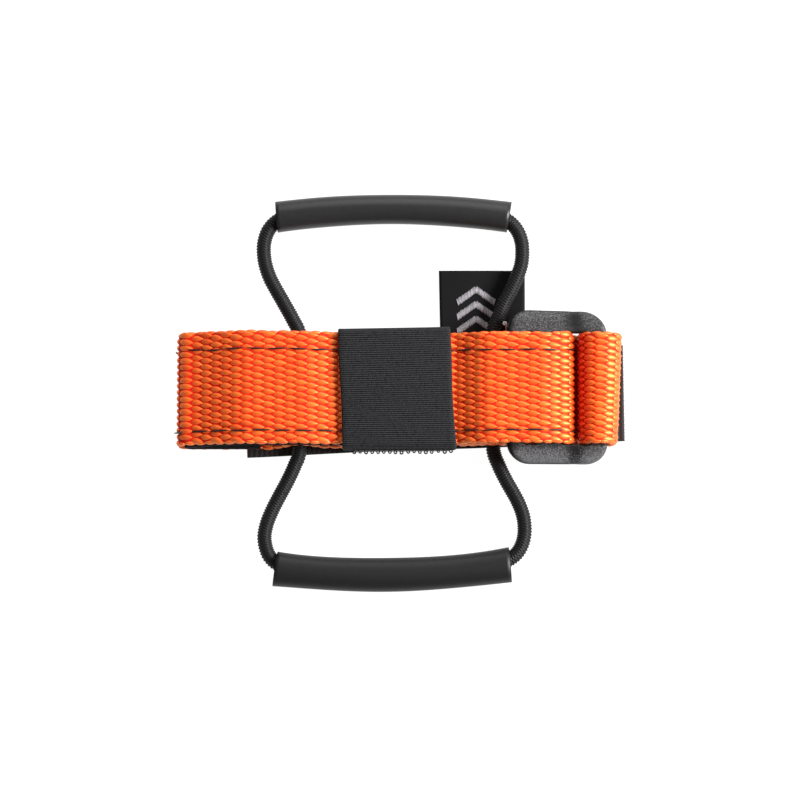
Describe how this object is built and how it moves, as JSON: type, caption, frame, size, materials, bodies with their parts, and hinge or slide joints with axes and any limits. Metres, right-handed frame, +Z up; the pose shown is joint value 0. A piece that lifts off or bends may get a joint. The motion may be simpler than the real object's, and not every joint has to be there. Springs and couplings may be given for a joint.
{
  "type": "gear strap with shock cord pulls",
  "caption": "Nylon webbing gear strap with a triglide buckle, elastic keeper, hook panel and shock cord pull loops, rolled flat.",
  "frame": {"origin": "middle of the rolled strap's footprint, on the surface that the hook panel lies on", "axes": "+X along the rolled strap towards the buckle, +Y across it towards the label and the upper pull, +Z up, away from the hook panel"},
  "size_m": [0.1027, 0.0918, 0.0137],
  "materials": {
    "orange_webbing": "woven nylon, satin yarn",
    "loop_tape": "brushed loop pile",
    "hook_tape": "moulded nylon hooks",
    "dark_thread": "bonded polyester thread",
    "black_acetal": "fine spark texture",
    "black_elastic": "woven elastic, fine ribs",
    "shock_cord": "braided polyester jacket",
    "crimp_metal": "drawn tube, crimped",
    "pvc_sleeve": "matte extruded tube",
    "woven_label": "damask weave",
    "grey_thread": "satin stitch",
    "white_thread": "spun thread"
  },
  "bodies": {
    "strap": {"strap_webbing": "orange_webbing", "loop_tape": "loop_tape", "tail_hook_tape": "hook_tape", "hook_panel": "hook_tape", "upper_edge_stitching": "dark_thread", "lower_edge_stitching": "dark_thread", "anchor_stitching": "dark_thread", "bar_tacks": "dark_thread", "left_cross_cord": "shock_cord", "right_cross_cord": "shock_cord", "label": "woven_label", "label_embroidery": "grey_thread", "label_stitching": "white_thread"},
    "buckle": {"triglide_buckle": "black_acetal"},
    "keeper": {"keeper_band": "black_elastic", "keeper_seam": "dark_thread", "keeper_hook_patch": "hook_tape"},
    "upper_loop": {"upper_loop_cord": "shock_cord"},
    "lower_loop": {"lower_loop_cord": "shock_cord"},
    "upper_pull": {"upper_pull_sleeve": "pvc_sleeve"},
    "lower_pull": {"lower_pull_sleeve": "pvc_sleeve", "cord_ferrule": "crimp_metal"}
  },
  "joints": [
    {"name": "buckle_side_play", "type": "slide", "parent": "strap", "child": "buckle", "axis": [0, 1, 0], "range_m": [-0.001, 0.0001]},
    {"name": "keeper_slide", "type": "slide", "parent": "strap", "child": "keeper", "axis": [1, 0, 0], "range_m": [-0.0025, 0]},
    {"name": "upper_loop_swing", "type": "hinge", "parent": "strap", "child": "upper_loop", "pos_m": [0, 0.0205, 0.0035], "axis": [1, 0, 0], "range_deg": [0, 90]},
    {"name": "lower_loop_swing", "type": "hinge", "parent": "strap", "child": "lower_loop", "pos_m": [0, -0.0205, 0.0035], "axis": [-1, 0, 0], "range_deg": [-60, 90]},
    {"name": "upper_pull_stretch", "type": "slide", "parent": "upper_loop", "child": "upper_pull", "axis": [0, 1, 0], "range_m": [0, 0.012], "stiffness_N_per_m": 1500, "deforming": ["upper_loop_cord"]},
    {"name": "lower_pull_stretch", "type": "slide", "parent": "lower_loop", "child": "lower_pull", "axis": [0, -1, 0], "range_m": [0, 0.012], "stiffness_N_per_m": 1500, "deforming": ["lower_loop_cord"]}
  ]
}
